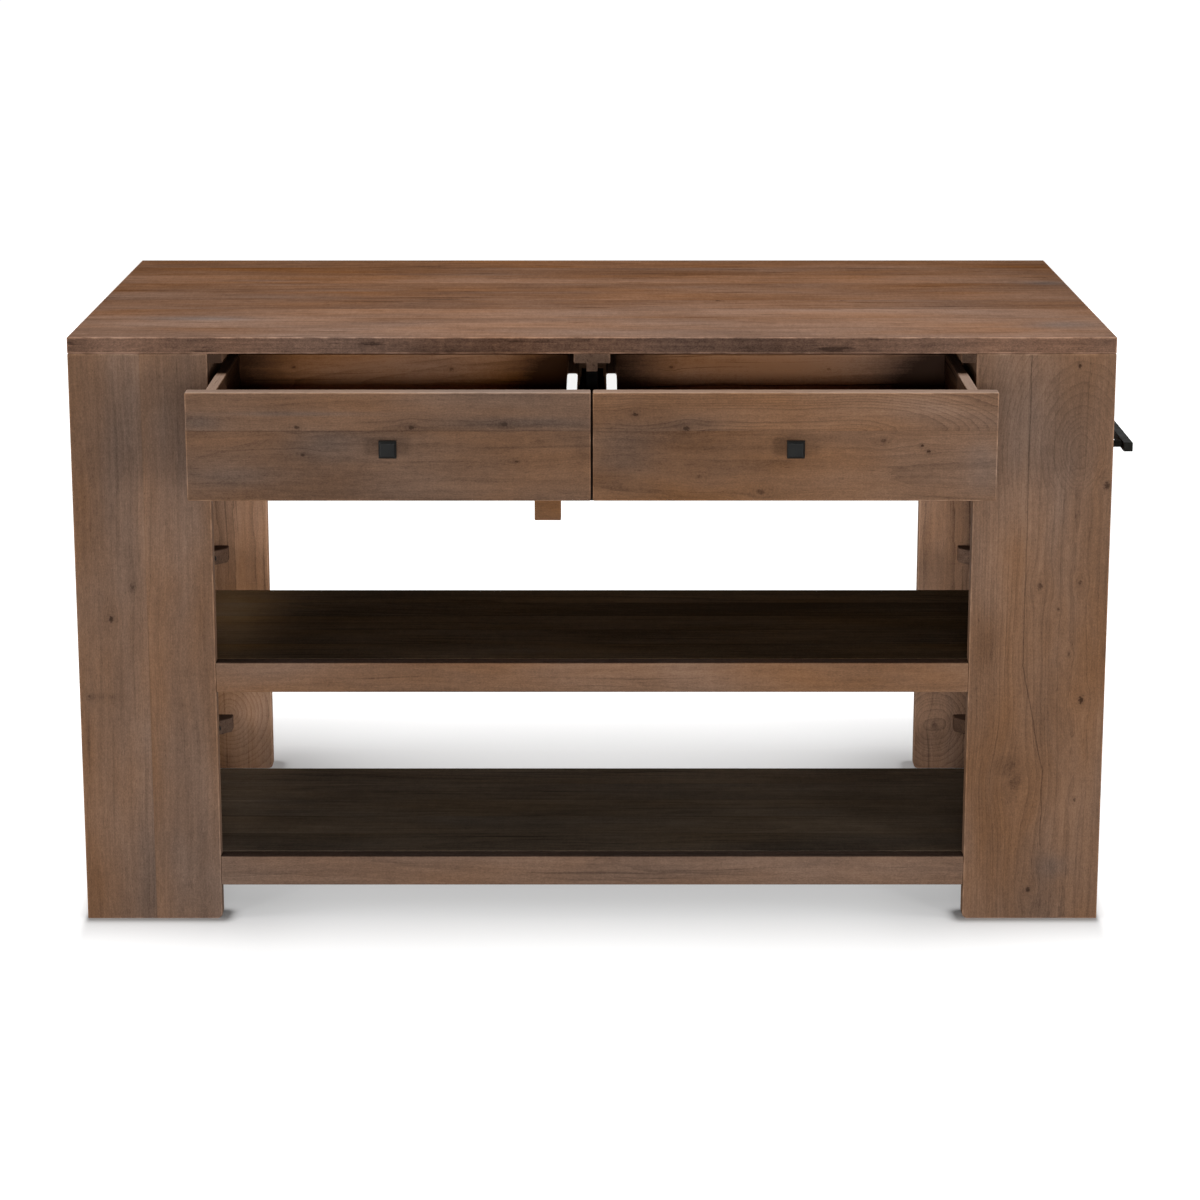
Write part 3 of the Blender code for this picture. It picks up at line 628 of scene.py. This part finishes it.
# Its top face gets a painted highlight, and its end at the other drawer gets painted shade.
RIGHT_DRAWER_FRONT = dict(
    seed=211.0, saturation=1.06, glue_dark=0.04, stave_step=0.06, faces=(TOP_HIGHLIGHT, (X, -1, *MEETING_END_SHADE)),
    heart=(0.36, 0.803, 0.0, 0.27, 1, 0.0, 1.0), ring_count=150.0, ring=0.22,
    smudges=((0.0277, 0.7746, 0.05, 0.045, 0.14, 0.15), (-0.0016, 0.738, 0.03, 0.02, 0.12, 0.0),
             (0.1225, 0.8179, 0.06, 0.008, 0.12, 0.0), (0.487, 0.8396, 0.07, 0.02, -0.10, 0.1),
             (0.5527, 0.76, 0.03, 0.05, 0.04, 0.14), (0.283, 0.7746, 0.15, 0.05, -0.02, -0.05),
             (0.13, 0.784, 0.2, 0.2, 0.08, 0.0)),
    knots=((0.0422, 0.8323, 0.004, 0.3), (0.1166, 0.8114, 0.005, 0.35), (0.1356, 0.7399, 0.004, 0.15),
           (0.2256, 0.7167, 0.006, 0.25), (0.4039, 0.7933, 0.004, 0.2), (0.4608, 0.7861, 0.0022, 0.55),
           (0.4704, 0.7774, 0.0025, 0.6)))

# The drawers' backs and floors: pale wood, made paler still as painted light, with painted shade at the ends,
# darkest in the right-hand lower corner. An end is the (length, width, darkness, greyness) of a smudge, and the
# knots are from the left-hand end.
DRAWER_INSIDE = dict(
    lift=0.46, hue=0.496, specular=0.0, blotch=0.8, streak=0.5, ring=0.24, vein=(2.4, 210.0, 0.40), mottle=0.36)
INSIDE_END_SHADE = (0.070, 0.3, 0.95, 0.0)
INSIDE_CORNER_LEVEL, INSIDE_CORNER_HEIGHT = 0.807, 0.045
INSIDE_KNOTS = ((0.085, 0.845, 0.003, 0.4), (0.33, 0.842, 0.003, 0.3))


def dress_frame():
    board("worktop", X, **WORKTOP)
    for node, look in LEGS.items():
        board(node, Z, **look)
    boards(("front_left_side_plank", "front_right_side_plank", "rear_left_side_plank", "rear_right_side_plank"),
           Z, seed=61.0, step=7.0, staves=2)
    boards(("left_end_apron", "right_end_apron", "upper_left_stretcher", "upper_right_stretcher",
            "lower_left_stretcher", "lower_right_stretcher"), Y, seed=91.0)
    # The cleats' front ends get painted shade.
    boards(("left_cleat", "right_cleat"), Y, seed=121.0, faces=(CLEAT_END_SHADE,))
    board("centre_rail", Y, seed=131.0, lift=-0.42)
    # The corner blocks are darker all over, and their top faces get painted shade.
    boards(("upper_left_corner_block", "upper_right_corner_block",
            "lower_left_corner_block", "lower_right_corner_block"),
           X, seed=141.0, lift=-0.46, faces=(BLOCK_TOP_SHADE,))
    # The shelf lips' top faces get painted shade.
    board("upper_shelf_lip", X, seed=171.0, lift=0.06, saturation=1.03, wear=0.08, faces=(LIP_TOP_SHADE,))
    board("lower_shelf_lip", X, seed=176.0, saturation=0.9, wear=0.08, faces=(LIP_TOP_SHADE,))
    # The shelf panels are darker as a whole, painted shade for the shade under the drawers, deepest on the
    # upper one, and paler at their left-hand ends, painted light.
    for node, seed, lift, saturation, end_light in (("upper_shelf_panel", 181.0, -0.38, 1.0, 0.85),
                                                   ("lower_shelf_panel", 186.0, -0.22, 0.78, 0.26)):
        board(node, X, seed=seed, lift=lift, saturation=saturation,
              smudges=((*SHELF_END_LIGHT, -end_light, 0.0),), **SHELF_PANEL)
    board("bay_back", X, seed=255.0)
    # The bay panels' tops get a painted highlight in front of the worktop's front edge and painted shade behind
    # it.
    boards(("left_bay_panel", "right_bay_panel"), Y, seed=281.0, specular=0.0, faces=SIDE_TOP_LIGHT_AND_SHADE)


def dress_drawers():
    board("left_drawer_front", X, **DRAWER_FRONT, **LEFT_DRAWER_FRONT)
    board("right_drawer_front", X, **DRAWER_FRONT, **RIGHT_DRAWER_FRONT)
    board("left_drawer_stop_block", X, seed=221.0, lift=-0.14, saturation=1.15)
    for node, seed, saturation, corner_reach, corner_shade in (
            ("left_drawer_back", 231.0, 1.24, 0.08, 0.8), ("right_drawer_back", 236.0, 1.12, 0.14, 1.0),
            ("left_drawer_floor", 241.0, 1.2, 0.08, 0.6), ("right_drawer_floor", 246.0, 1.2, 0.08, 0.6)):
        # Painted shade at both ends of each board, and in its lower corner at the right-hand end.
        low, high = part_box(node)
        smudges = [(end, (low[Z] + high[Z]) / 2, *INSIDE_END_SHADE) for end in (low[X], high[X])]
        smudges.append((high[X], INSIDE_CORNER_LEVEL, corner_reach, INSIDE_CORNER_HEIGHT, corner_shade, 0.0))
        knots = [(low[X] + along, *rest) for along, *rest in INSIDE_KNOTS]
        board(node, X, seed=seed, saturation=saturation, smudges=smudges, knots=knots, **DRAWER_INSIDE)
    # The inner sides' tops are painted white in front of the worktop's front plane: a painted highlight of
    # their lit part.
    strip = (DRAWER_TOP - STRIP_SKIN, WORKTOP_FRONT)
    # The drawer sides' tops get a painted highlight in front of the worktop's front edge and painted shade
    # behind it, and their faces inside the drawer get painted shade.
    for node, seed, inside, highlight_band in (
            ("left_drawer_outer_side", 261.0, 1, None), ("left_drawer_inner_side", 266.0, -1, strip),
            ("right_drawer_outer_side", 271.0, -1, None), ("right_drawer_inner_side", 276.0, 1, strip)):
        board(node, Y, seed=seed, specular=0.0, white_strip=highlight_band, faces=(*SIDE_TOP_LIGHT_AND_SHADE, (X, inside, *SIDE_INSIDE_SHADE)))


def dress_metals():
    made = {name: metal(name, *look) for name, look in METALS.items()}
    for node in NODES:
        for ending, name in METAL_NODES.items():
            if node.endswith(ending):
                dress(node, made[name])


# The floor's own glow in the camera's eye, by distance out from the island's front plane, in metres. Its dip
# near the island is a painted shadow.
GLOW_FROM, GLOW_TO = -0.15, 0.45
GLOW = ((-0.145, 0.395), (-0.087, 0.42), (-0.0155, 0.50), (0.056, 0.64), (0.128, 0.79), (0.40, 1.0))

# Behind the island the same glow starts further out and changes more slowly, and is dimmed between the
# island's ends as a painted shadow. Past these it is white.
REAR_START, REAR_RATE = 0.09, 0.5
REAR_DIM_SPAN, REAR_DIM = (-0.05, 0.30), 0.22
REAR_DIM_ENDS = (-0.25, 0.15)
WHITE_ENDS = (-0.01, 0.035)

# The floor's shadows round the feet, each (width, strength), which end at the island's ends.
FOOT_SHADOWS = ((0.016, 0.50), (0.12, 0.12))
FOOT_SHADOW_ENDS = (-0.004, 0.008)

FLOOR_REACH = 40.0
FLOOR_GREY = (0.60, 0.60, 0.60, 1.0)
WHITE = (1.0, 1.0, 1.0, 1.0)


def floor_glow(graph):
    """How bright the floor looks: a painted shadow, darker under the island and round the feet, white at its
    ends, and slowly so behind it.
    """
    place = graph.place()
    low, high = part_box("worktop")
    leg_low, leg_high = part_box("front_left_leg_plank")
    centre = [(low[axis] + high[axis]) / 2 for axis in (X, Y)]
    half = [(high[axis] - low[axis]) / 2 for axis in (X, Y)]
    off = [graph.size_of(graph.minus(place[axis], centre[axis])) for axis in (X, Y)]
    past_end = graph.minus(off[X], half[X])

    ahead = graph.minus(low[Y], place[Y])
    behind = graph.times(graph.minus(place[Y], high[Y] + REAR_START), REAR_RATE)
    share = graph.remap(graph.most(ahead, behind), GLOW_FROM, GLOW_TO, 0.0, 1.0)
    glow = graph.ramp(share, [((at - GLOW_FROM) / (GLOW_TO - GLOW_FROM), (level,) * 3) for at, level in GLOW])
    rear = graph.math("GREATER_THAN", place[Y], centre[Y])
    inward = graph.remap(past_end, *REAR_DIM_ENDS, 1.0, 0.0, smooth=True)
    dim = graph.remap(graph.minus(place[Y], high[Y]), *REAR_DIM_SPAN, REAR_DIM, 0.0)
    glow = graph.minus(glow, graph.times(graph.times(rear, inward), dim))
    glow = graph.choose(graph.remap(past_end, *WHITE_ENDS, 0.0, 1.0, smooth=True), glow, 1.0)

    gaps = []
    for axis in (X, Y):
        inner = half[axis] - (leg_high[axis] - leg_low[axis])
        gap = graph.most(graph.minus(off[axis], half[axis]), graph.minus(inner, off[axis]))
        gaps.append(graph.most(gap, 0.0))
    from_foot = graph.squares(*gaps)
    under = graph.remap(past_end, *FOOT_SHADOW_ENDS, 1.0, 0.0, smooth=True)
    for width, strength in FOOT_SHADOWS:
        touch = graph.decay(from_foot, 1.0 / width ** 2)
        glow = graph.minus(glow, graph.times(graph.times(touch, under), strength))
    return graph.most(glow, 0.0)


def build_floor():
    """A pale floor that shows as white to the camera away from the object and keeps its shadow."""
    mesh = bpy.data.meshes.new("studio_floor")
    corners = [(x * FLOOR_REACH, y * FLOOR_REACH, 0.0) for x, y in ((-1, -1), (1, -1), (1, 1), (-1, 1))]
    mesh.from_pydata(corners, [], [(0, 1, 2, 3)])
    floor = bpy.data.objects.new("studio_floor", mesh)
    bpy.context.scene.collection.objects.link(floor)
    graph = Shader("studio_floor")
    matt = graph.add("BsdfDiffuse")
    matt.inputs["Color"].default_value = FLOOR_GREY
    white = graph.add("Emission")
    white.inputs["Color"].default_value = WHITE
    graph.feed(white.inputs["Strength"], graph.times(graph.background_rays(), floor_glow(graph)))
    both = graph.add("AddShader")
    for socket, shader in zip(both.inputs, (matt, white)):
        graph.feed(socket, shader.outputs[0])
    mesh.materials.append(graph.end(both.outputs[0]))


WORLD_LEVEL = 0.05

# Each lamp's place and aim, width and height, level, and whether gloss and the camera see it.
LAMPS = {
    "overhead": ((0.0, WORKTOP_FRONT, 2.95), (0.0, WORKTOP_FRONT, TOP_LEVEL), (1.6, 0.35), 1.10, False, True),
    "front_fill": ((0.0, -5.6, 1.52), (0.0, -0.35, 0.60), (2.4, 0.4), 0.38, True, True),
    "right_fill": ((3.9, -4.4, 0.65), (0.0, -0.35, 0.60), (1.0, 1.0), 0.42, True, True),
    "left_fill": ((-3.9, -4.4, 0.65), (0.0, -0.35, 0.60), (1.0, 1.0), 0.30, True, True),
    "right_side_fill": ((5.2, -1.0, 0.75), (0.7, 0.1, 0.50), (1.2, 1.0), 0.40, False, True),
    "left_side_fill": ((-5.2, -1.0, 0.95), (-0.7, 0.1, 0.50), (1.2, 1.0), 0.40, True, True),
    "rear_fill": ((0.0, 6.0, 0.75), (0.0, 0.4, 0.50), (1.6, 1.0), 0.45, False, True),
    "knee_fill": ((0.0, 0.17, 0.42), (0.0, 0.46, 0.42), (1.0, 0.4), 6.0, False, False),
}


def light_world():
    """A faint even light, and white where the background is seen."""
    world = bpy.data.worlds.new("studio")
    bpy.context.scene.world = world
    graph = Graph(world)
    glow = graph.add("Background")
    glow.inputs["Color"].default_value = WHITE
    graph.feed(glow.inputs["Strength"], graph.remap(graph.background_rays(), 0.0, 1.0, WORLD_LEVEL, 1.0))
    graph.feed(graph.add("OutputWorld").inputs["Surface"], glow.outputs[0])


def light_studio():
    """Area lamps. A white surface at a lamp's aim, square on to it, shows the lamp's level."""
    light_world()
    for name, (place, aim, (width, height), level, glossy, seen) in LAMPS.items():
        throw = Vector(aim) - Vector(place)
        lamp = bpy.data.lights.new(name, "AREA")
        lamp.shape = "RECTANGLE"
        lamp.size = width
        lamp.size_y = height
        lamp.energy = level * math.pi ** 2 * throw.length_squared
        holder = bpy.data.objects.new(name, lamp)
        holder.location = place
        holder.rotation_euler = throw.to_track_quat("-Z", "Y").to_euler()
        holder.visible_glossy = glossy
        holder.visible_camera = seen
        bpy.context.scene.collection.objects.link(holder)


def place_camera():
    data = bpy.data.cameras.new("camera")
    data.sensor_width = CAMERA_SENSOR
    data.lens = CAMERA_LENS
    data.shift_y = CAMERA_SHIFT
    data.clip_end = CAMERA_REACH
    camera = bpy.data.objects.new("camera", data)
    camera.location = CAMERA_PLACE
    camera.rotation_euler = (math.radians(CAMERA_TILT), 0.0, math.radians(CAMERA_TURN))
    bpy.context.scene.collection.objects.link(camera)
    bpy.context.scene.camera = camera


bpy.context.scene.view_settings.view_transform = "Standard"
place_camera()
dress_frame()
dress_drawers()
dress_metals()
build_floor()
light_studio()
